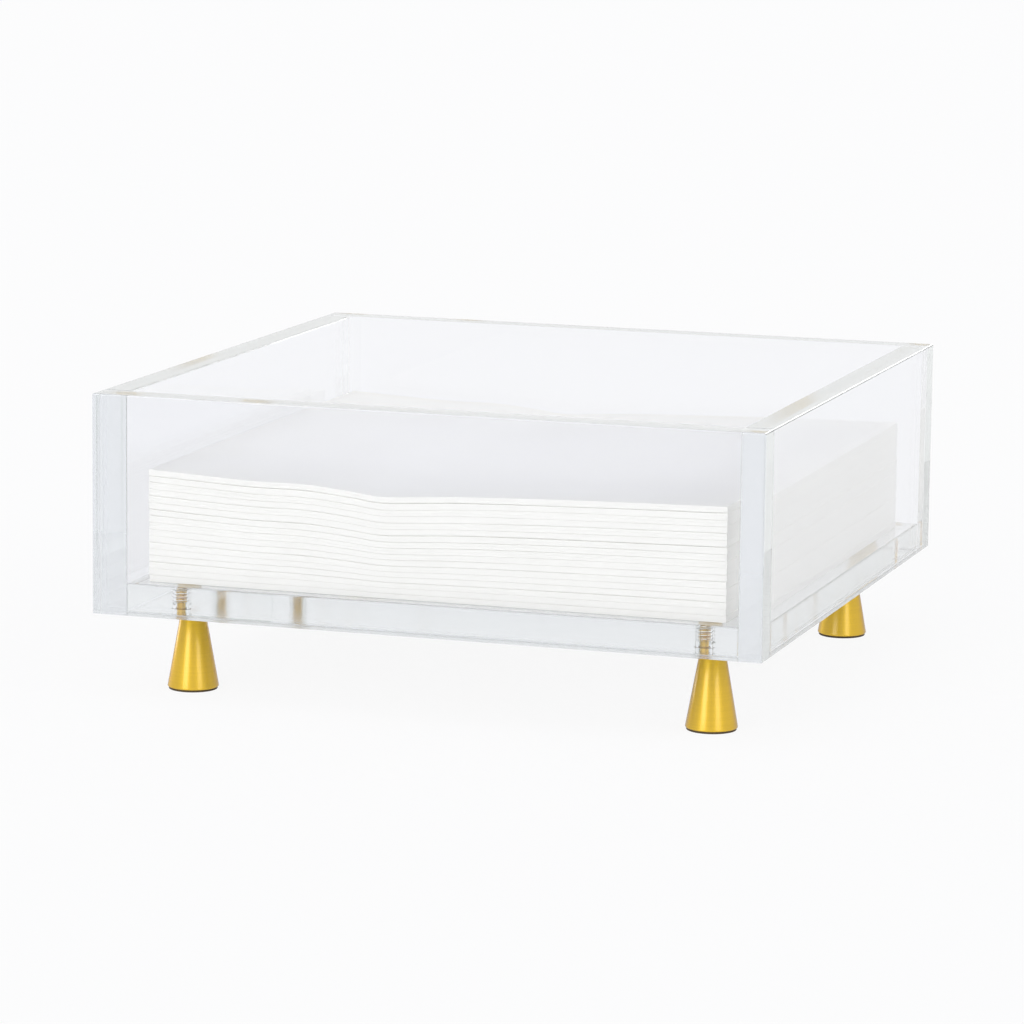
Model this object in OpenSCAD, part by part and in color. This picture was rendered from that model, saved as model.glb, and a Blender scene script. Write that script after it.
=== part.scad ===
// Clear acrylic napkin holder on four cone feet, with a stack of folded paper napkins.
// Origin: middle of the footprint, on the table. +X is right, +Y is rear, +Z is up.

/* [Tray] */
// Outside width of the tray, left to right
tray_width = 190; // [120:1:240]
// Outside depth of the tray, front to rear
tray_depth = 190; // [120:1:240]
// Height of the walls, from their lower edge to the rim
wall_height = 61; // [50:1:90]
// Thickness of the four wall sheets
wall_thickness = 8; // [4:0.5:12]
// Thickness of the base sheet between the walls
base_thickness = 8; // [7:0.5:12]

/* [Feet] */
// Height from the table to the lower edge of the tray
foot_height = 24; // [16:0.5:40]
// Diameter of a foot at its lower end
foot_base_d = 14.4; // [12:0.2:20]
// Diameter of a foot at its upper end
foot_top_d = 6; // [6:0.2:11]
// Radius of the rounded lower edge of a foot
foot_edge_round = 0.4; // [0.3:0.1:1]
// Chamfer round the top face of a foot
foot_top_chamfer = 0.2; // [0.1:0.05:0.3]
// Distance of a foot's axis from the tray's left and right faces
foot_side_inset = 20; // [16:0.5:40]
// Distance of a foot's axis from the tray's front and rear faces
foot_end_inset = 24; // [16:0.5:40]
// Thickness of the pad under a foot
pad_thickness = 0.6; // [0.4:0.1:1.5]
// Diameter of the pad under a foot
pad_d = 13.6; // [8:0.2:13.6]

/* [Studs] */
// Outside diameter of the stud's thread
thread_d = 5; // [4:0.1:5.4]
// Diameter at the root of the stud's thread
thread_root_d = 4; // [3.7:0.1:4]
// Pitch of the thread
thread_pitch = 1; // [0.5:0.1:1.2]
// How far the stud stands up from the foot into the base
stud_reach = 5.5; // [4.5:0.1:6]
// Height of the plain neck between the foot and the thread
neck_height = 1.5; // [0.5:0.1:2]
// Diameter of the plain shank inside the foot
shank_d = 3.6; // [3:0.1:3.6]
// Length of the shank inside the foot
shank_depth = 9; // [5:0.5:12]
// Depth left free above a stud in its hole
hole_relief = 0.7; // [0.3:0.1:0.9]

/* [Napkins] */
// Clearance between the napkins and the left and right walls
side_clearance = 4.5; // [0.5:0.5:27]
// Least clearance between the napkins and the front and rear walls
end_clearance = 4.5; // [0.5:0.5:27]
// Further room left behind the napkins, which are folded a little less deep than wide
rear_room = 4; // [0:0.5:20]
// Thickness of one folded napkin
napkin_thickness = 1.73; // [1.2:0.01:2]
// Air between one napkin and the next
napkin_gap = 0.12; // [0.1:0.01:0.3]
// Depth of the pressed crease in the top of the stack
crease_drop = 3.5; // [0:0.1:5]

/* [Hidden] */
// Clearance round a stud in its tapped hole
thread_clearance = 0.05;
// Clearance round the shank and under it, in the foot
shank_clearance = 0.05;
// Air under the stack of napkins
stack_seat_gap = 0.1;
// Overrun of a cut past the face that it opens
cut_overrun = 1;

napkin_count = 17;
thread_turns = floor((stud_reach - neck_height) / thread_pitch);
crest_share = 0.25;
round_steps = 6;
$fn = 96;

well_width = tray_width - 2 * wall_thickness;
well_depth = tray_depth - 2 * wall_thickness;
floor_z = foot_height + base_thickness;
napkin_width = well_width - 2 * side_clearance;
napkin_depth = well_depth - 2 * end_clearance - rear_room;
napkin_rear_y = well_depth / 2 - end_clearance - rear_room;
napkin_step = napkin_thickness + napkin_gap;

// Height lost at each station across the stack, as a share of crease_drop
station_shares = [0, 0.10, 0.19, 0.28, 0.36, 0.41, 0.47, 0.54, 0.65, 0.79, 1];
drop_shares = [0, 0.22, 0.40, 0.42, 0.74, 1, 0.86, 0.64, 0.42, 0.22, 0.03];

corner_names = ["front_left", "front_right", "rear_left", "rear_right"];
corner_signs = [[-1, -1], [1, -1], [-1, 1], [1, 1]];

function corner_place(corner) = [
    corner_signs[corner][0] * (tray_width / 2 - foot_side_inset),
    corner_signs[corner][1] * (tray_depth / 2 - foot_end_inset)
];

function napkin_name(level) = str("napkin_", level < 10 ? "0" : "", level);

// How much of the crease shows in the face between two napkins: none at the bottom, all at the top
function crease_share(level) = 1 - pow(1 - level / napkin_count, 2);

// Height of the face between napkins, above the bottom of the stack, at a station across it
function seam_z(level, station) =
    level * napkin_step - crease_drop * crease_share(level) * drop_shares[station];

acrylic = [0.90, 0.93, 0.96, 0.35];
gold = [0.85, 0.68, 0.28];
dark_rubber = [0.16, 0.13, 0.09];
paper = [0.98, 0.98, 0.97];

// Base sheet, drilled from below with a blind hole for each stud
module base_panel() {
    color(acrylic)
    difference() {
        translate([-well_width / 2, -well_depth / 2, foot_height])
            cube([well_width, well_depth, base_thickness]);
        for (corner = [0 : 3])
            translate(corner_place(corner))
            translate([0, 0, foot_height - cut_overrun])
                cylinder(d = thread_d + 2 * thread_clearance, h = cut_overrun + stud_reach + hole_relief);
    }
}

// Front or rear sheet, the full width of the tray
module end_panel(face_y) {
    color(acrylic)
    translate([-tray_width / 2, face_y, foot_height])
        cube([tray_width, wall_thickness, wall_height]);
}

// Left or right sheet, between the front and rear sheets
module side_panel(face_x) {
    color(acrylic)
    translate([face_x, -well_depth / 2, foot_height])
        cube([wall_thickness, well_depth, wall_height]);
}

module front_panel() {
    end_panel(-tray_depth / 2);
}

module rear_panel() {
    end_panel(well_depth / 2);
}

module left_panel() {
    side_panel(-tray_width / 2);
}

module right_panel() {
    side_panel(well_width / 2);
}

// Half outline of a foot: rounded lower edge, straight flank, small chamfer at the top
function foot_outline(height) = concat(
    [[0, 0]],
    [for (step = [0 : round_steps])
        let (angle = 90 * step / round_steps)
        [
            foot_base_d / 2 - foot_edge_round * (1 - sin(angle)),
            foot_edge_round * (1 - cos(angle))
        ]
    ],
    [
        [foot_top_d / 2, height - foot_top_chamfer],
        [foot_top_d / 2 - foot_top_chamfer, height],
        [0, height]
    ]
);

// Turned cone foot, bored from the top for the stud's shank
module foot(corner) {
    height = foot_height - pad_thickness;
    bore_depth = shank_depth + shank_clearance;
    color(gold)
    translate(corner_place(corner))
    translate([0, 0, pad_thickness])
    difference() {
        rotate_extrude()
            polygon(foot_outline(height));
        translate([0, 0, height - bore_depth])
            cylinder(d = shank_d + 2 * shank_clearance, h = bore_depth + cut_overrun);
    }
}

// Half outline of a stud: plain shank and neck, then one tooth for each turn of the thread
function stud_outline() = concat(
    [[0, 0], [shank_d / 2, 0], [shank_d / 2, shank_depth + neck_height]],
    [for (turn = [0 : thread_turns - 1])
        let (low = shank_depth + neck_height + turn * thread_pitch)
        for (point = [
            [thread_root_d / 2, low],
            [thread_d / 2, low + thread_pitch * (1 - crest_share) / 2],
            [thread_d / 2, low + thread_pitch * (1 + crest_share) / 2]
        ])
        point
    ],
    [
        [thread_root_d / 2, shank_depth + neck_height + thread_turns * thread_pitch],
        [thread_root_d / 2, shank_depth + stud_reach],
        [0, shank_depth + stud_reach]
    ]
);

// Stud that joins a foot to the base
module stud(corner) {
    color(gold)
    translate(corner_place(corner))
    translate([0, 0, foot_height - shank_depth])
    rotate_extrude()
        polygon(stud_outline());
}

// Thin round pad under a foot
module pad(corner) {
    color(dark_rubber)
    translate(corner_place(corner))
        cylinder(d = pad_d, h = pad_thickness);
}

// One folded napkin: its outline across the tray follows the crease pressed into the stack
module napkin(level) {
    last = len(station_shares) - 1;
    lower_face = [for (station = [0 : last])
        [napkin_width * station_shares[station], seam_z(level - 1, station)]];
    upper_face = [for (station = [last : -1 : 0])
        [napkin_width * station_shares[station], seam_z(level, station) - napkin_gap]];
    color(paper)
    translate([-napkin_width / 2, napkin_rear_y, floor_z + stack_seat_gap])
    rotate([90, 0, 0])
    linear_extrude(height = napkin_depth)
        polygon(concat(lower_face, upper_face));
}

base_panel();
front_panel();
rear_panel();
left_panel();
right_panel();
for (corner = [0 : 3])
    foot(corner);
for (corner = [0 : 3])
    stud(corner);
for (corner = [0 : 3])
    pad(corner);
for (level = [1 : napkin_count])
    napkin(level);
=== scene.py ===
import bpy
import bmesh
import math
import random
from mathutils import Matrix, Vector


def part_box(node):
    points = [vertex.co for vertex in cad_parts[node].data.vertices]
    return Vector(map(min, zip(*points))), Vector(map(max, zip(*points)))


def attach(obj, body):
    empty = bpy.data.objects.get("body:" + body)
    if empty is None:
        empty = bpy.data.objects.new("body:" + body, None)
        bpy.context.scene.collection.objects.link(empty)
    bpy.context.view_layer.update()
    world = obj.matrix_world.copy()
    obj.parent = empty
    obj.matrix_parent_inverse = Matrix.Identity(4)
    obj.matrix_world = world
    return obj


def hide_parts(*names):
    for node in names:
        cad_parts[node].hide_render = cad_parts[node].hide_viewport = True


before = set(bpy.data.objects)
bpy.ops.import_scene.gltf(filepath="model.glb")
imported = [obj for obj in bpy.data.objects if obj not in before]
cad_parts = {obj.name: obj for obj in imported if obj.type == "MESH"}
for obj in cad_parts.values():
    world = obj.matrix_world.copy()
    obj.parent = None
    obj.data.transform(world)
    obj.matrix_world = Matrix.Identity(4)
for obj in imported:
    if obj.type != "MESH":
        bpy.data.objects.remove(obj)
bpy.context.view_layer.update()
corners = ("front_left", "front_right", "rear_left", "rear_right")
tolerance = 1e-6  # metres, nearer than which two places count as one
facing = 0.99  # share of its normal along an axis from which a face counts as square to it


# Small helpers shared by all pieces

def deselectAll():
    bpy.ops.object.select_all(action="DESELECT")


def namePiece(name):
    piece = bpy.context.object
    piece.name = name
    piece.data.name = name
    return piece


def bakePlace(piece):  # the place goes into the mesh, the object stays at the origin
    deselectAll()
    piece.select_set(True)
    bpy.context.view_layer.objects.active = piece
    bpy.ops.object.transform_apply(location=True, rotation=True, scale=True)


def openMesh(piece, mode="FACE"):
    deselectAll()
    piece.select_set(True)
    bpy.context.view_layer.objects.active = piece
    bpy.ops.object.mode_set(mode="EDIT")
    bpy.ops.mesh.select_mode(type=mode)
    bpy.ops.mesh.select_all(action="DESELECT")


def closeMesh():
    bpy.ops.object.mode_set(mode="OBJECT")


def pick(piece, kind, test):  # selects what passes the test, by place or normal
    mesh = bmesh.from_edit_mesh(piece.data)
    for part in getattr(mesh, kind):
        part.select_set(test(part))
    mesh.select_flush_mode()
    bmesh.update_edit_mesh(piece.data)


def upBy(height):
    return {"value": (0, 0, height)}


def applyModifier(piece, modifier):
    bpy.context.view_layer.objects.active = piece
    bpy.ops.object.modifier_apply(modifier=modifier.name)


def cutOut(piece, tool, operation="DIFFERENCE"):
    modifier = piece.modifiers.new("cut", "BOOLEAN")
    modifier.operation = operation
    modifier.solver = "EXACT"
    modifier.object = tool
    applyModifier(piece, modifier)
    bpy.data.objects.remove(tool)


def copyTo(piece, name, offset):
    twin = piece.copy()
    twin.data = piece.data.copy()
    twin.name = name
    twin.data.name = name
    bpy.context.scene.collection.objects.link(twin)
    twin.data.transform(Matrix.Translation(offset))
    return twin


def smoothByAngle(piece, degrees):
    deselectAll()
    piece.select_set(True)
    bpy.context.view_layer.objects.active = piece
    bpy.ops.object.shade_smooth_by_angle(angle=math.radians(degrees))


def towards(azimuth, elevation):  # direction in degrees, azimuth from the front to the right
    turn = math.radians(azimuth)
    lift = math.radians(elevation)
    return Vector((math.sin(turn) * math.cos(lift), -math.cos(turn) * math.cos(lift), math.sin(lift)))


def footPlace(corner):
    low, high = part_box("foot_" + corner)
    return Vector(((low.x + high.x) / 2, (low.y + high.y) / 2, 0))


# Helpers for materials

bumpHeight = 0.0001


def newMaterial(name):
    material = bpy.data.materials.new(name)
    material.use_nodes = True
    tree = material.node_tree
    return material, tree, tree.nodes["Principled BSDF"]


def addNode(tree, kind, **values):
    node = tree.nodes.new(kind)
    for key, value in values.items():
        if hasattr(node, key):
            setattr(node, key, value)
        else:
            node.inputs[key.replace("_", " ")].default_value = value
    return node


def addNoise(tree, **values):  # noise fixed to the piece
    place = addNode(tree, "ShaderNodeTexCoord")
    noise = addNode(tree, "ShaderNodeTexNoise", **values)
    tree.links.new(place.outputs["Object"], noise.inputs["Vector"])
    return noise


def toned(color, shares):
    return tuple(level * share for level, share in zip(color, shares))


def colorBetween(tree, factor, shader, dark, light, span=(0, 1)):
    shade = addNode(tree, "ShaderNodeValToRGB")
    start, end = shade.color_ramp.elements
    start.position, end.position = span
    start.color, end.color = (*dark, 1), (*light, 1)
    tree.links.new(factor, shade.inputs[0])
    tree.links.new(shade.outputs[0], shader.inputs["Base Color"])


def roughnessBetween(tree, factor, shader, low, high):
    spread = addNode(tree, "ShaderNodeMapRange")
    spread.inputs["To Min"].default_value = low
    spread.inputs["To Max"].default_value = high
    tree.links.new(factor, spread.inputs["Value"])
    tree.links.new(spread.outputs[0], shader.inputs["Roughness"])


def bumpFrom(tree, factor, shader, strength):
    bump = addNode(tree, "ShaderNodeBump", Strength=strength, Distance=bumpHeight)
    tree.links.new(factor, bump.inputs["Height"])
    tree.links.new(bump.outputs[0], shader.inputs["Normal"])


# Camera, fitted to the photographed tray

cameraFit = {
    "target": (-0.00532, 0, 0.04289),
    "azimuth": 18.089,
    "elevation": 9.65,
    "roll": 0.654,
    "distance": 1.3571,
    "lens": 166.35,
    "sensor": 36,
    "clipEnd": 50,
}


def makeCamera():
    back = towards(cameraFit["azimuth"], cameraFit["elevation"])
    lean = math.radians(cameraFit["roll"])
    level = Vector((0, 0, 1)).cross(back).normalized()
    upright = back.cross(level)
    right = math.cos(lean) * level + math.sin(lean) * upright
    up = -math.sin(lean) * level + math.cos(lean) * upright
    data = bpy.data.cameras.new("photoCamera")
    data.lens = cameraFit["lens"]
    data.sensor_width = cameraFit["sensor"]
    data.clip_end = cameraFit["clipEnd"]
    camera = bpy.data.objects.new("photoCamera", data)
    bpy.context.scene.collection.objects.link(camera)
    place = Vector(cameraFit["target"]) + back * cameraFit["distance"]
    axes = Matrix((right, up, back)).transposed()
    camera.matrix_world = Matrix.Translation(place) @ axes.to_4x4()
    bpy.context.scene.camera = camera


# Floor, world and lamps

studio = {
    "paleColor": (0.978, 0.978, 0.979),
    "floorSize": 16,
    "floorBounce": (0.5, 0.5, 0.5),  # what the floor gives back of the lamps' light
    "floorGlow": 1.078,  # makes up for that where the floor is looked at
    "floorLift": 0.863,  # share of the floor's shadow that the pale ground hides from the camera
    "ceilingColor": (0.70, 0.71, 0.73),  # what polished edges show from high overhead
    "ceilingRise": (0.50, 0.75),  # sine of the elevation where it starts and where it is full
    "skyColor": (0.955, 0.98, 1.11),
    "skyLevel": 0.49,
    "sunDistance": 3,
    "suns": {  # strength, then azimuth from the front to the right, elevation and softness in degrees
        "keySun": (0.6, -25, 60, 50),
        "frontSun": (1.80, -10, 13, 50),
        "rightSun": (0.90, 75, 25, 50),
        "rearSun": (0.9, -160, 6, 50),
    },
    "stripTarget": (0, 0, 0.012),
    "strips": {  # watts, azimuth in degrees from the camera's, then distance, height, width and length
        "leftStrip": (2.1, -36, 0.9, 0.20, 0.36, 0.60),
        "rightStrip": (1.4, 28, 0.9, 0.20, 0.34, 0.60),
        "rearLeftStrip": (1.6, -125, 0.9, 0.20, 0.30, 0.60),
        "rearRightStrip": (1.6, 155, 0.9, 0.20, 0.30, 0.60),
    },
}


def lookedAt(tree):  # 1 for rays from the camera, a mirror or clear acrylic, 0 for light that spreads
    path = addNode(tree, "ShaderNodeLightPath")
    glossy = addNode(tree, "ShaderNodeMath", operation="MAXIMUM")
    every = addNode(tree, "ShaderNodeMath", operation="MAXIMUM")
    tree.links.new(path.outputs["Is Camera Ray"], glossy.inputs[0])
    tree.links.new(path.outputs["Is Glossy Ray"], glossy.inputs[1])
    tree.links.new(glossy.outputs[0], every.inputs[0])
    tree.links.new(path.outputs["Is Transmission Ray"], every.inputs[1])
    return every.outputs[0]


def makeWorld():
    world = bpy.data.worlds.new("studio")
    world.use_nodes = True
    tree = world.node_tree
    tree.nodes.clear()
    pale = (*studio["paleColor"], 1)
    sky = (*studio["skyColor"], 1)
    light = addNode(tree, "ShaderNodeBackground", Color=sky, Strength=studio["skyLevel"])
    seen = addNode(tree, "ShaderNodeBackground", Strength=1.0)
    direction = addNode(tree, "ShaderNodeTexCoord")
    height = addNode(tree, "ShaderNodeSeparateXYZ")
    shade = addNode(tree, "ShaderNodeValToRGB")
    start, end = shade.color_ramp.elements
    start.position, end.position = studio["ceilingRise"]
    start.color, end.color = pale, (*studio["ceilingColor"], 1)
    tree.links.new(direction.outputs["Generated"], height.inputs[0])
    tree.links.new(height.outputs["Z"], shade.inputs[0])
    tree.links.new(shade.outputs[0], seen.inputs["Color"])
    mix = addNode(tree, "ShaderNodeMixShader")
    out = addNode(tree, "ShaderNodeOutputWorld")
    tree.links.new(lookedAt(tree), mix.inputs[0])
    tree.links.new(light.outputs[0], mix.inputs[1])
    tree.links.new(seen.outputs[0], mix.inputs[2])
    tree.links.new(mix.outputs[0], out.inputs["Surface"])
    bpy.context.scene.world = world


def paleFloor():
    material, tree, shader = newMaterial("paleFloor")
    pale = (*studio["paleColor"], 1)
    shader.inputs["Base Color"].default_value = (*studio["floorBounce"], 1)
    shader.inputs["Roughness"].default_value = 1.0
    shader.inputs["Specular IOR Level"].default_value = 0.0
    ground = addNode(tree, "ShaderNodeEmission", Color=pale, Strength=studio["floorGlow"])
    share = addNode(tree, "ShaderNodeMath", operation="MULTIPLY")
    share.inputs[1].default_value = studio["floorLift"]
    mix = addNode(tree, "ShaderNodeMixShader")
    tree.links.new(lookedAt(tree), share.inputs[0])
    tree.links.new(share.outputs[0], mix.inputs[0])
    tree.links.new(shader.outputs[0], mix.inputs[1])
    tree.links.new(ground.outputs[0], mix.inputs[2])
    tree.links.new(mix.outputs[0], tree.nodes["Material Output"].inputs["Surface"])
    return material


def makeFloor():
    deselectAll()
    bpy.ops.mesh.primitive_plane_add(size=studio["floorSize"])
    floor = namePiece("floor")
    floor.data.materials.append(paleFloor())


def aim(lamp, place, target):
    lamp.location = place
    lamp.rotation_euler = (Vector(target) - Vector(place)).to_track_quat("-Z", "Y").to_euler()


def makeLamps():
    for name, (strength, azimuth, elevation, softness) in studio["suns"].items():
        data = bpy.data.lights.new(name, "SUN")
        data.energy = strength
        data.angle = math.radians(softness)
        lamp = bpy.data.objects.new(name, data)
        lamp.visible_glossy = False  # polished faces show the pale studio and not the suns
        lamp.visible_transmission = False
        bpy.context.scene.collection.objects.link(lamp)
        aim(lamp, towards(azimuth, elevation) * studio["sunDistance"], (0, 0, 0))
    for name, (watts, azimuth, distance, height, width, length) in studio["strips"].items():
        data = bpy.data.lights.new(name, "AREA")
        data.shape = "RECTANGLE"
        data.size, data.size_y = width, length
        data.energy = watts
        lamp = bpy.data.objects.new(name, data)
        lamp.visible_diffuse = False  # the strips only show where something mirrors them
        lamp.visible_transmission = False
        bpy.context.scene.collection.objects.link(lamp)
        place = towards(cameraFit["azimuth"] + azimuth, 0) * distance
        place.z = height
        aim(lamp, place, studio["stripTarget"])


# Thread, as a ridge on a stud or on the tool that taps a hole

ridgeMake = {
    "steps": 48,  # in one turn
    "rootSpread": 1.4,  # half width at the buried root, as a share of the half width asked for
    "crestSpread": 0.3,  # and at the crest
    "mergeDistance": 1e-7,
}


def threadRidge(name, rootRadius, crestRadius, halfWidth, bottom, turns, pitch):
    deselectAll()
    bpy.ops.mesh.primitive_plane_add(size=1)
    ridge = namePiece(name)
    inner = rootRadius - (crestRadius - rootRadius)  # buried, so that the ridge joins its core
    root, crest = halfWidth * ridgeMake["rootSpread"], halfWidth * ridgeMake["crestSpread"]
    outline = ((inner, -root), (crestRadius, -crest), (crestRadius, crest), (inner, root))
    order = (0, 1, 3, 2)  # a plane's vertices run row by row
    for vertex, step in zip(ridge.data.vertices, order):
        vertex.co = (outline[step][0], 0, bottom + outline[step][1])
    screw = ridge.modifiers.new("thread", "SCREW")
    screw.axis = "Z"
    screw.screw_offset = pitch
    screw.iterations = turns
    screw.steps = screw.render_steps = ridgeMake["steps"]
    screw.use_smooth_shade = False
    applyModifier(ridge, screw)
    openMesh(ridge, "EDGE")
    bpy.ops.mesh.select_all(action="SELECT")
    bpy.ops.mesh.remove_doubles(threshold=ridgeMake["mergeDistance"])
    bpy.ops.mesh.select_all(action="DESELECT")
    pick(ridge, "edges", lambda edge: edge.is_boundary)
    bpy.ops.mesh.fill_holes(sides=4)
    bpy.ops.mesh.select_all(action="SELECT")
    bpy.ops.mesh.normals_make_consistent(inside=False)
    closeMesh()
    return ridge


# Acrylic tray: five polished sheets, solvent-welded along hairline joints

trayMake = {
    "jointGap": 0.00003,
    "edgeRound": 0.0004,
    "edgeSteps": 3,
    "uprightShare": 0.5,  # how much of that the upright edges of the walls get
    "lowerShare": 0.2,  # and their sawn lower edges
    "tint": (0.957, 0.961, 0.979),
    "lampTint": (0.994, 0.995, 1.0),  # what a face takes from the light of the lamps
    "ior": 1.491,
    "depthTint": (0.62, 0.71, 0.62),
    "depthTintDensity": 1.0,
    "lowerRoughness": 0.22,  # the lower edges of the walls, only sawn
    "undersideRoughness": 0.10,  # the underside of the base, scuffed
    "endRoughness": 0.05,  # the ends of the left and right walls, sawn before welding
    "weldRoughness": 0.03,  # the edges of the base, which the cement has cleared
    "weldTint": (0.995, 0.995, 0.995),
    "holeSides": 48,
    "holeClearance": 0.00005,  # round a stud
    "holeRelief": 0.0007,  # above a stud
    "holeOverrun": 0.001,  # past the underside of the base
    "holeReach": 1.5,  # radii from its axis within which a hole's own faces lie
    "holeWallTilt": 0.9,  # and the most that the normal of its wall points up or down
    "threadPitch": 0.001,
    "threadStart": 1.5,  # turns up from the underside
    "grooveDepth": 0.0005,
    "grooveWidth": 0.0008,
}


def acrylic(name, roughness, tint=trayMake["tint"]):
    material, tree, shader = newMaterial(name)
    shader.inputs["Base Color"].default_value = (*tint, 1)
    shader.inputs["Transmission Weight"].default_value = 1.0
    shader.inputs["IOR"].default_value = trayMake["ior"]
    shader.inputs["Roughness"].default_value = roughness
    inside = addNode(tree, "ShaderNodeVolumeAbsorption", Color=(*trayMake["depthTint"], 1),
                     Density=trayMake["depthTintDensity"])
    tree.links.new(inside.outputs[0], tree.nodes["Material Output"].inputs["Volume"])
    path = addNode(tree, "ShaderNodeLightPath")
    passing = addNode(tree, "ShaderNodeBsdfTransparent", Color=(*trayMake["lampTint"], 1))
    mix = addNode(tree, "ShaderNodeMixShader")  # lamp light passes through, as it does through real acrylic
    tree.links.new(path.outputs["Is Shadow Ray"], mix.inputs[0])
    tree.links.new(shader.outputs[0], mix.inputs[1])
    tree.links.new(passing.outputs[0], mix.inputs[2])
    tree.links.new(mix.outputs[0], tree.nodes["Material Output"].inputs["Surface"])
    return material


def finishOf(normal, joints):  # 0 polished, 1 a lower face, 2 a face that is welded to a neighbour
    if "x" in joints and abs(normal.x) > facing:
        return 2
    if "y" in joints and abs(normal.y) > facing:
        return 2
    return 1 if normal.z < -facing else 0


def easing(edge, node, joints):  # share of the tray's edge round that an edge of this sheet gets
    wallLow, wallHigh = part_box("front_panel")
    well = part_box("base_panel")[1].x
    near = trayMake["jointGap"] / 10
    heights = [vertex.co.z for vertex in edge.verts]
    place = (edge.verts[0].co + edge.verts[1].co) / 2
    if node != "base_panel" and max(heights) - wallLow.z < near:
        return trayMake["lowerShare"]
    atRim = abs(place.z - wallHigh.z) < near
    faces = [abs(abs(place.x) - wallHigh.x) < near, abs(abs(place.y) - wallHigh.x) < near,
             atRim, abs(place.z - wallLow.z) < near]
    atWell = abs(abs(place.x) - well) < near or abs(abs(place.y) - well) < near
    exposed = sum(faces) > 1 or (atRim and atWell)  # an outer edge, or an inner edge of the rim
    if not joints and not exposed:  # the upright inner edges of the front and rear sheets stay sharp
        return 0.0
    return trayMake["uprightShare"] if max(heights) - min(heights) > near else 1.0


def makePanel(name, node, joints, finishes):  # joints are the axes along which it meets its neighbours
    low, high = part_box(node)
    gap = Vector([trayMake["jointGap"] if axis in joints else 0 for axis in "xyz"])
    size = high - low - 2 * gap
    deselectAll()
    bpy.ops.mesh.primitive_cube_add(size=1, location=(low + high) / 2, scale=size)
    panel = namePiece(name)
    bakePlace(panel)
    openMesh(panel, "EDGE")
    for share in (1.0, trayMake["uprightShare"], trayMake["lowerShare"]):
        bpy.ops.mesh.select_all(action="DESELECT")
        pick(panel, "edges", lambda edge: easing(edge, node, joints) == share)
        bpy.ops.transform.edge_bevelweight(value=share)
    closeMesh()
    ease = panel.modifiers.new("ease", "BEVEL")
    ease.limit_method = "WEIGHT"
    ease.width = trayMake["edgeRound"]
    ease.segments = trayMake["edgeSteps"]
    applyModifier(panel, ease)
    for finish in finishes:
        panel.data.materials.append(finish)
    for face in panel.data.polygons:
        face.material_index = finishOf(face.normal, joints)
    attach(panel, "tray")
    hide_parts(node)
    return panel


def tappedHoleTool(radius, bottom, top):
    deselectAll()
    height = top - bottom + trayMake["holeOverrun"]
    bpy.ops.mesh.primitive_cylinder_add(vertices=trayMake["holeSides"], radius=radius, depth=height,
                                        location=(0, 0, top - height / 2))
    tool = namePiece("tappedHole")
    bakePlace(tool)
    pitch = trayMake["threadPitch"]
    start = bottom + trayMake["threadStart"] * pitch
    turns = int((top - start) / pitch)
    ridge = threadRidge("tapGroove", radius, radius + trayMake["grooveDepth"], trayMake["grooveWidth"] / 2,
                        start, turns, pitch)
    cutOut(tool, ridge, "UNION")
    return tool


def tapBase(base):
    studLow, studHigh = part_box("stud_front_left")
    holeRadius = (studHigh.x - studLow.x) / 2 + trayMake["holeClearance"]
    holeTop = studHigh.z + trayMake["holeRelief"]
    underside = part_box("base_panel")[0].z
    places = [footPlace(corner) for corner in corners]
    for place in places:
        tool = tappedHoleTool(holeRadius, underside, holeTop)
        tool.data.transform(Matrix.Translation(place))
        cutOut(base, tool)
    for face in base.data.polygons:  # the wall of each hole is polished
        fromAxis = min((face.center.xy - place.xy).length for place in places)
        upright = abs(face.normal.z) < trayMake["holeWallTilt"]
        if upright and fromAxis < holeRadius * trayMake["holeReach"]:
            face.material_index = 0


def makeTray():
    clear = acrylic("clearAcrylic", 0.0)
    sawn = acrylic("sawnAcrylic", trayMake["lowerRoughness"])
    ends = acrylic("trimmedAcrylic", trayMake["endRoughness"])
    scuffed = acrylic("scuffedAcrylic", trayMake["undersideRoughness"])
    welded = acrylic("weldedAcrylic", trayMake["weldRoughness"], trayMake["weldTint"])
    makePanel("front_sheet", "front_panel", "", (clear, sawn))
    makePanel("rear_sheet", "rear_panel", "", (clear, sawn))
    makePanel("left_sheet", "left_panel", "y", (clear, sawn, ends))
    makePanel("right_sheet", "right_panel", "y", (clear, sawn, ends))
    tapBase(makePanel("base_sheet", "base_panel", "xy", (clear, scuffed, welded)))
    print("tray made")


# Turned feet

footMake = {
    "sides": 96,
    "topRadius": 0.003,
    "edgeRound": 0.0004,
    "edgeSteps": 6,
    "topRound": 0.0002,
    "topSteps": 2,
    "boreRadius": 0.00185,
    "boreDepth": 0.00905,
    "smoothAngle": 30,
    "gold": (0.77, 0.50, 0.018),
    "goldDip": (0.93, 0.92, 0.85),  # share of the gold that is left in the darkest brush marks
    "edgeTint": (0.16, 0.12, 0.05),
    "roughness": 0.50,
    "roughnessSpread": 0.04,
    "anisotropy": 0.6,
    "anisotropyTurn": 0.25,
    "lacquer": 0.9,
    "lacquerRoughness": 0.19,
    "lacquerIor": 1.55,
    "brushScale": (30, 30, 2600),  # fine along the axis, long around it
    "brushDetail": 3.0,
    "brushGrain": 0.6,
    "brushSpan": (0.3, 0.7),
    "brushDepth": 0.05,
}


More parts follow.
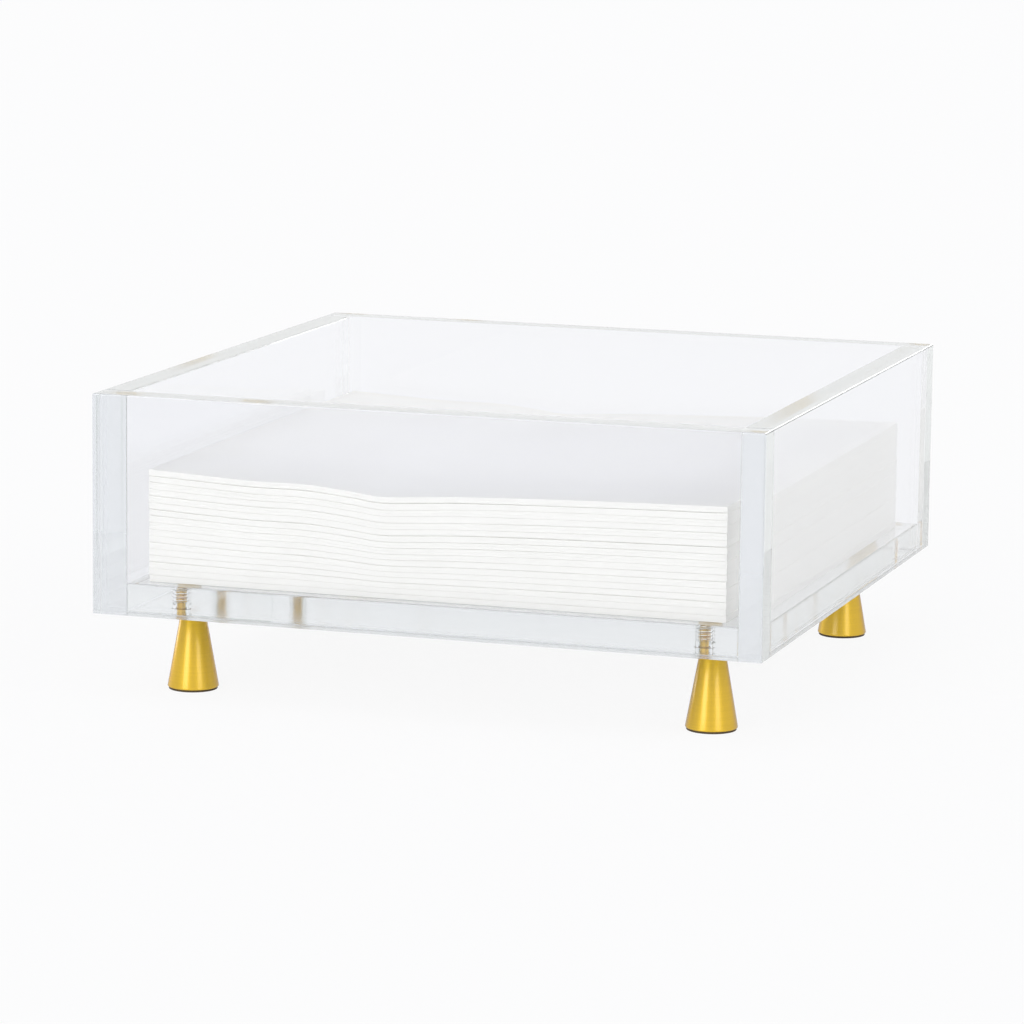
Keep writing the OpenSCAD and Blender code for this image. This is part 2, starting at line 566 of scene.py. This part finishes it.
def satinGold():
    material, tree, shader = newMaterial("satinGold")
    shader.inputs["Metallic"].default_value = 1.0
    shader.inputs["Anisotropic"].default_value = footMake["anisotropy"]
    shader.inputs["Anisotropic Rotation"].default_value = footMake["anisotropyTurn"]
    shader.inputs["Specular Tint"].default_value = (*footMake["edgeTint"], 1)
    shader.inputs["Coat Weight"].default_value = footMake["lacquer"]
    shader.inputs["Coat Roughness"].default_value = footMake["lacquerRoughness"]
    shader.inputs["Coat IOR"].default_value = footMake["lacquerIor"]
    place = addNode(tree, "ShaderNodeTexCoord")
    stretch = addNode(tree, "ShaderNodeMapping")
    stretch.inputs["Scale"].default_value = footMake["brushScale"]
    brush = addNode(tree, "ShaderNodeTexNoise", Scale=1.0, Detail=footMake["brushDetail"],
                    Roughness=footMake["brushGrain"])
    tree.links.new(place.outputs["Object"], stretch.inputs["Vector"])
    tree.links.new(stretch.outputs[0], brush.inputs["Vector"])
    marks = brush.outputs["Fac"]
    gold, spread = footMake["gold"], footMake["roughnessSpread"]
    colorBetween(tree, marks, shader, toned(gold, footMake["goldDip"]), gold, footMake["brushSpan"])
    roughnessBetween(tree, marks, shader, footMake["roughness"] - spread, footMake["roughness"] + spread)
    bumpFrom(tree, marks, shader, footMake["brushDepth"])
    lathe = addNode(tree, "ShaderNodeTangent", direction_type="RADIAL", axis="Z")
    tree.links.new(lathe.outputs[0], shader.inputs["Tangent"])
    return material


def makeFeet():
    low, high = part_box("foot_front_left")
    height = high.z - low.z
    topRadius = footMake["topRadius"]
    deselectAll()
    bpy.ops.mesh.primitive_cone_add(vertices=footMake["sides"], radius1=(high.x - low.x) / 2,
                                    radius2=topRadius, depth=height, location=(0, 0, low.z + height / 2))
    foot = namePiece("coneFoot")
    bakePlace(foot)
    openMesh(foot, "EDGE")
    pick(foot, "edges", lambda edge: all(v.co.z < low.z + tolerance for v in edge.verts))
    bpy.ops.mesh.bevel(offset=footMake["edgeRound"], segments=footMake["edgeSteps"], affect="EDGES")
    bpy.ops.mesh.select_all(action="DESELECT")
    pick(foot, "edges", lambda edge: all(v.co.z > high.z - tolerance for v in edge.verts))
    bpy.ops.mesh.bevel(offset=footMake["topRound"], segments=footMake["topSteps"], affect="EDGES")
    bpy.ops.mesh.select_mode(type="FACE")
    bpy.ops.mesh.select_all(action="DESELECT")
    pick(foot, "faces", lambda face: face.normal.z > facing and len(face.verts) > 4)
    bpy.ops.mesh.inset(thickness=topRadius - footMake["topRound"] - footMake["boreRadius"])
    bpy.ops.mesh.extrude_region_move(TRANSFORM_OT_translate=upBy(-footMake["boreDepth"]))
    closeMesh()
    smoothByAngle(foot, footMake["smoothAngle"])
    foot.data.materials.append(satinGold())
    for corner in corners:
        piece = copyTo(foot, "cone_foot_" + corner, footPlace(corner))
        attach(piece, "foot_" + corner)
        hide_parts("foot_" + corner)
    bpy.data.objects.remove(foot)
    print("feet made")


# Studs with a helical thread

studMake = {
    "sides": 48,
    "rootRadius": 0.0020,
    "shankRadius": 0.0018,
    "neckHeight": 0.0015,
    "shoulder": 0.0001,  # height over which the neck widens to the root of the thread
    "tipHeight": 0.0003,
    "tipShare": 0.8,  # of the root's radius
    "pitch": 0.001,
    "turns": 3,
    "threadStart": 0.5,  # turns above the neck
    "ridgeShare": 0.3,  # half width of the ridge, in pitches
    "smoothAngle": 30,
    "brass": (0.90, 0.58, 0.10),
    "brassDip": (0.85, 0.82, 0.8),
    "roughness": (0.17, 0.30),
    "grainScale": 1800.0,
    "grainDetail": 2.0,
}


def studBrass():
    material, tree, shader = newMaterial("studBrass")
    shader.inputs["Metallic"].default_value = 1.0
    grain = addNoise(tree, Scale=studMake["grainScale"], Detail=studMake["grainDetail"]).outputs["Fac"]
    brass = studMake["brass"]
    colorBetween(tree, grain, shader, toned(brass, studMake["brassDip"]), brass)
    roughnessBetween(tree, grain, shader, *studMake["roughness"])
    return material


def makeStuds():
    low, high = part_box("stud_front_left")
    crestRadius = (high.x - low.x) / 2
    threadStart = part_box("base_panel")[0].z + studMake["neckHeight"]
    shankHeight = threadStart - low.z
    deselectAll()
    bpy.ops.mesh.primitive_cylinder_add(vertices=studMake["sides"], radius=studMake["shankRadius"],
                                        depth=shankHeight, location=(0, 0, low.z + shankHeight / 2))
    stud = namePiece("stud")
    bakePlace(stud)
    openMesh(stud)
    pick(stud, "faces", lambda face: face.normal.z > facing)
    grow = studMake["rootRadius"] / studMake["shankRadius"]
    shrink = studMake["tipShare"]
    straight = high.z - threadStart - studMake["shoulder"] - studMake["tipHeight"]
    bpy.ops.mesh.extrude_region_move(TRANSFORM_OT_translate=upBy(studMake["shoulder"]))
    bpy.ops.transform.resize(value=(grow, grow, 1), center_override=(0, 0, threadStart))
    bpy.ops.mesh.extrude_region_move(TRANSFORM_OT_translate=upBy(straight))
    bpy.ops.mesh.extrude_region_move(TRANSFORM_OT_translate=upBy(studMake["tipHeight"]))
    bpy.ops.transform.resize(value=(shrink, shrink, 1), center_override=(0, 0, high.z))
    closeMesh()
    pitch = studMake["pitch"]
    ridge = threadRidge("studThread", studMake["rootRadius"], crestRadius, pitch * studMake["ridgeShare"],
                        threadStart + studMake["threadStart"] * pitch, studMake["turns"], pitch)
    cutOut(stud, ridge, "UNION")
    smoothByAngle(stud, studMake["smoothAngle"])
    stud.data.materials.clear()
    stud.data.materials.append(studBrass())
    for corner in corners:
        piece = copyTo(stud, "threaded_stud_" + corner, footPlace(corner))
        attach(piece, "foot_" + corner)
        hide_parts("stud_" + corner)
    bpy.data.objects.remove(stud)
    print("studs made")


# Rubber pads under the feet

padMake = {
    "sides": 64,
    "edgeRound": 0.00015,
    "edgeSteps": 3,
    "smoothAngle": 30,
    "color": (0.075, 0.052, 0.022),
    "dark": (0.7, 0.7, 0.7),  # shares of the colour
    "light": (1.4, 1.4, 1.4),
    "roughness": 0.8,
    "grainScale": 900.0,
    "grainDetail": 4.0,
    "grainDepth": 0.3,
}


def footRubber():
    material, tree, shader = newMaterial("footRubber")
    grain = addNoise(tree, Scale=padMake["grainScale"], Detail=padMake["grainDetail"]).outputs["Fac"]
    color = padMake["color"]
    colorBetween(tree, grain, shader, toned(color, padMake["dark"]), toned(color, padMake["light"]))
    bumpFrom(tree, grain, shader, padMake["grainDepth"])
    shader.inputs["Roughness"].default_value = padMake["roughness"]
    return material


def makePads():
    low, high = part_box("pad_front_left")
    deselectAll()
    bpy.ops.mesh.primitive_cylinder_add(vertices=padMake["sides"], radius=(high.x - low.x) / 2,
                                        depth=high.z - low.z, location=(0, 0, (low.z + high.z) / 2))
    pad = namePiece("pad")
    bakePlace(pad)
    openMesh(pad, "EDGE")
    pick(pad, "edges", lambda edge: all(v.co.z < low.z + tolerance for v in edge.verts))
    bpy.ops.mesh.bevel(offset=padMake["edgeRound"], segments=padMake["edgeSteps"], affect="EDGES")
    closeMesh()
    smoothByAngle(pad, padMake["smoothAngle"])
    pad.data.materials.append(footRubber())
    for corner in corners:
        piece = copyTo(pad, "foot_pad_" + corner, footPlace(corner))
        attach(piece, "pad_" + corner)
        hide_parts("pad_" + corner)
    bpy.data.objects.remove(pad)
    print("pads made")


# Folded napkins: four layers, folded at the right side and then at the front

napkinMake = {
    "count": 17,
    "columns": 84,
    "rows": 20,
    "profile": (0, 0.012, 0.035, 0.07, 0.12, 0.2, 0.32, 0.43, 0.48,
                0.52, 0.57, 0.68, 0.8, 0.88, 0.93, 0.965, 0.988, 1),  # shares of its height, up an edge
    "frontRound": 0.15,  # corner of the fold, as a share of a napkin's thickness
    "sideRound": 0.02,
    "leafDip": 0.05,  # groove between two leaves, as a share of a napkin's thickness
    "leafDipWidth": 0.035,
    "leafDipShares": (0.3, 0.7, 1.2),  # one is drawn for each napkin
    "openSideDip": 3,  # times as deep at the left, where the leaves lie open
    "foldVary": (0.75, 0.35),  # middle and swing of the fold's roundness along the front
    "foldWaves": (31, 77),  # radians a metre
    "foldLag": 1.7,  # radians from one napkin to the next
    "firstAir": 0.00012,  # over the first napkin, the other gaps are measured
    "middleClose": 0.9,  # how much of the air between two napkins closes away from the edges
    "frontClose": 0.63,  # at the front fold, less where a seam is more open
    "sideClose": 0.96,  # and at the right fold
    "openness": (0.55, 0.7, 0.85, 1.0, 1.3),  # one is drawn for each seam
    "pressedOpen": 0.55,  # the weight above presses the lowest seam flat, to this share
    "pressedLevels": 8,  # and each one above it less, up to this one
    "frontDrift": 0.00008,
    "sideDrift": 0.00012,
    "wave": 0.00010,
    "waveAcross": 55,  # radians a metre
    "waveBack": 30,
    "waveLag": 0.3,  # radians from one napkin to the next
    "seamDrift": 0.00010,
    "seamDriftAcross": 14,  # radians a metre
    "phaseSpan": 6.28,  # radians, about one turn
    "cornerDraw": 0.00018,  # how far a corner draws in, each way
    "smoothAngle": 60,
    "seed": 11,
    "paper": (0.947, 0.939, 0.902),
    "paperDip": (0.97, 0.97, 0.96),
    "paperSpan": (0, 0.5),
    "roughness": 0.92,
    "gloss": 0.25,
    "fibreScale": 1400,
    "fibreDetail": 5.0,
    "fibreGrain": 0.65,
    "fibreDepth": 0.2,
    "cloudScale": 60.0,
    "cloudDetail": 2.0,
}


def napkinPaper():
    material, tree, shader = newMaterial("napkinPaper")
    fibre = addNoise(tree, Scale=napkinMake["fibreScale"], Detail=napkinMake["fibreDetail"],
                     Roughness=napkinMake["fibreGrain"])
    cloud = addNoise(tree, Scale=napkinMake["cloudScale"], Detail=napkinMake["cloudDetail"])
    blend = addNode(tree, "ShaderNodeMath", operation="MULTIPLY")
    tree.links.new(fibre.outputs["Fac"], blend.inputs[0])
    tree.links.new(cloud.outputs["Fac"], blend.inputs[1])
    paper = napkinMake["paper"]
    dim = toned(paper, napkinMake["paperDip"])
    colorBetween(tree, blend.outputs[0], shader, dim, paper, napkinMake["paperSpan"])
    bumpFrom(tree, fibre.outputs["Fac"], shader, napkinMake["fibreDepth"])
    shader.inputs["Roughness"].default_value = napkinMake["roughness"]
    shader.inputs["Specular IOR Level"].default_value = napkinMake["gloss"]
    return material


def crease(level):  # lowest and highest point at each station of a CAD napkin, left to right
    stations = {}
    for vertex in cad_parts[f"napkin_{level:02d}"].data.vertices:
        key = round(vertex.co.x, 5)  # to a hundredth of a millimetre
        low, high = stations.get(key, (1, -1))
        stations[key] = (min(low, vertex.co.z), max(high, vertex.co.z))
    return sorted((x, low, high) for x, (low, high) in stations.items())


def along(points, x):  # smooth height at x, through the stations
    last = len(points) - 2
    i = max(0, min(last, sum(1 for p in points[1:-1] if p[0] <= x)))
    before, start = points[max(i - 1, 0)], points[i]
    end, after = points[i + 1], points[min(i + 2, last + 1)]
    width = end[0] - start[0]
    t = min(1, max(0, (x - start[0]) / width))
    slopeIn = (end[1] - before[1]) / max(end[0] - before[0], tolerance) * width
    slopeOut = (after[1] - start[1]) / max(after[0] - start[0], tolerance) * width
    return ((2 * t ** 3 - 3 * t ** 2 + 1) * start[1] + (t ** 3 - 2 * t ** 2 + t) * slopeIn
            + (3 * t ** 2 - 2 * t ** 3) * end[1] + (t ** 3 - t ** 2) * slopeOut)


def seams(rng):  # for each face between two napkins: how open it is, its drift and the phase of its wave
    found = []
    top = napkinMake["count"]
    pressed = napkinMake["pressedOpen"]
    for level in range(top + 1):
        settled = pressed + (1 - pressed) * min(1, level / napkinMake["pressedLevels"])
        openness = settled * rng.choice(napkinMake["openness"])
        drift = rng.uniform(-1, 1) * napkinMake["seamDrift"] if 0 < level < top else 0
        found.append((openness, drift, rng.uniform(0, napkinMake["phaseSpan"])))
    return found


def seamRise(seam, x, y, level):
    drift, phase = seam[1:]
    ripple = math.sin(x * napkinMake["waveAcross"] + phase)
    ripple *= math.sin(y * napkinMake["waveBack"] + level * napkinMake["waveLag"])
    ripple *= level / napkinMake["count"]
    return drift * math.cos(x * napkinMake["seamDriftAcross"] + phase) + napkinMake["wave"] * ripple


def edgeInset(share, corner, below, above, dip):  # how far an edge draws in at this share of its height
    inset = 0
    for distance, openness in ((share, below), (1 - share, above)):
        radius = corner * openness
        if distance < radius:
            inset += radius * (1 - math.sqrt(1 - (1 - distance / radius) ** 2))
    return inset + dip * math.exp(-((share - 0.5) / napkinMake["leafDipWidth"]) ** 2)


def flatNapkin(width, depth, thick):
    deselectAll()
    bpy.ops.mesh.primitive_grid_add(x_subdivisions=napkinMake["columns"], y_subdivisions=napkinMake["rows"],
                                    size=1)
    napkin = namePiece("napkin")
    napkin.scale = (width, depth, 1)
    bakePlace(napkin)
    openMesh(napkin)
    bpy.ops.mesh.select_all(action="SELECT")
    profile = napkinMake["profile"]
    for below, above in zip(profile, profile[1:]):
        bpy.ops.mesh.extrude_region_move(TRANSFORM_OT_translate=upBy(thick * (above - below)))
    bpy.ops.mesh.select_all(action="SELECT")
    bpy.ops.mesh.normals_make_consistent(inside=False)
    closeMesh()
    return napkin


def foldVary(x, level):  # how round the front fold is, along the napkin
    middle, swing = napkinMake["foldVary"]
    coarse, fine = napkinMake["foldWaves"]
    return middle + swing * math.sin(x * coarse + level * napkinMake["foldLag"]) * math.sin(x * fine + level)


def foldNapkin(napkin, level, width, depth, thick, found, rng):
    stations = crease(level)
    lower = [(x, low) for x, low, high in stations]
    upper = [(x, high) for x, low, high in stations]
    air = stations[0][1] - crease(level - 1)[0][2] if level > 1 else napkinMake["firstAir"]
    shiftX = rng.uniform(-1, 1) * napkinMake["sideDrift"]
    shiftY = rng.uniform(-1, 1) * napkinMake["frontDrift"]
    leafDip = napkinMake["leafDip"] * rng.choice(napkinMake["leafDipShares"])
    frontRound, sideRound = napkinMake["frontRound"], napkinMake["sideRound"]
    below, above = found[level - 1], found[level]
    covered = level < napkinMake["count"]
    for vertex in napkin.data.vertices:
        x, y, z = vertex.co
        share = z / thick
        atLeft, atRight = x < -width / 2 + tolerance, x > width / 2 - tolerance
        atFront, atRear = y < -depth / 2 + tolerance, y > depth / 2 - tolerance
        vary = foldVary(x, level)
        close = napkinMake["middleClose"]
        if atFront:
            y += thick * edgeInset(share, frontRound * vary, below[0], above[0], leafDip * vary)
            close = 1 - (1 - napkinMake["frontClose"]) * above[0]
        if atRear:
            y -= thick * edgeInset(share, frontRound, 1, 1, napkinMake["leafDip"])
        if atRight:
            x -= thick * edgeInset(share, sideRound, 1, 1, 0)
            close = napkinMake["sideClose"]
        if atLeft:
            x += thick * edgeInset(share, frontRound, 1, 1, napkinMake["openSideDip"] * napkinMake["leafDip"])
        if (atLeft or atRight) and (atFront or atRear):
            x -= math.copysign(napkinMake["cornerDraw"], x)
            y -= math.copysign(napkinMake["cornerDraw"], y)
        low = along(lower, x) + seamRise(below, x, y, level - 1)
        high = along(upper, x) + seamRise(above, x, y, level) + (air * close if covered else 0)
        vertex.co = (x + shiftX, y + shiftY, low + (high - low) * share)


def makeNapkins():
    paper = napkinPaper()
    rng = random.Random(napkinMake["seed"])
    low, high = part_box("napkin_01")
    width, depth = high.x - low.x, high.y - low.y
    middle = (low.y + high.y) / 2
    leftEnd = crease(1)[0]
    thick = leftEnd[2] - leftEnd[1]
    flat = flatNapkin(width, depth, thick)
    flat.data.materials.append(paper)
    found = seams(rng)
    for level in range(1, napkinMake["count"] + 1):
        piece = copyTo(flat, f"folded_napkin_{level:02d}", (0, 0, 0))
        foldNapkin(piece, level, width, depth, thick, found, rng)
        piece.data.transform(Matrix.Translation((0, middle, 0)))
        smoothByAngle(piece, napkinMake["smoothAngle"])
        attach(piece, "top_napkin" if level == napkinMake["count"] else "napkin_stack")
        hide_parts(f"napkin_{level:02d}")
    bpy.data.objects.remove(flat)
    print("napkins made")


# Render settings: light goes through and round many faces of the acrylic

lightBounces = {
    "max_bounces": 64,
    "transmission_bounces": 48,
    "glossy_bounces": 48,
    "transparent_max_bounces": 48,
}

makeCamera()
makeWorld()
makeFloor()
makeLamps()
print("studio made")
makeTray()
makeFeet()
makeStuds()
makePads()
makeNapkins()

scene = bpy.context.scene
scene.view_settings.view_transform = "Standard"
for setting, bounces in lightBounces.items():
    setattr(scene.cycles, setting, bounces)
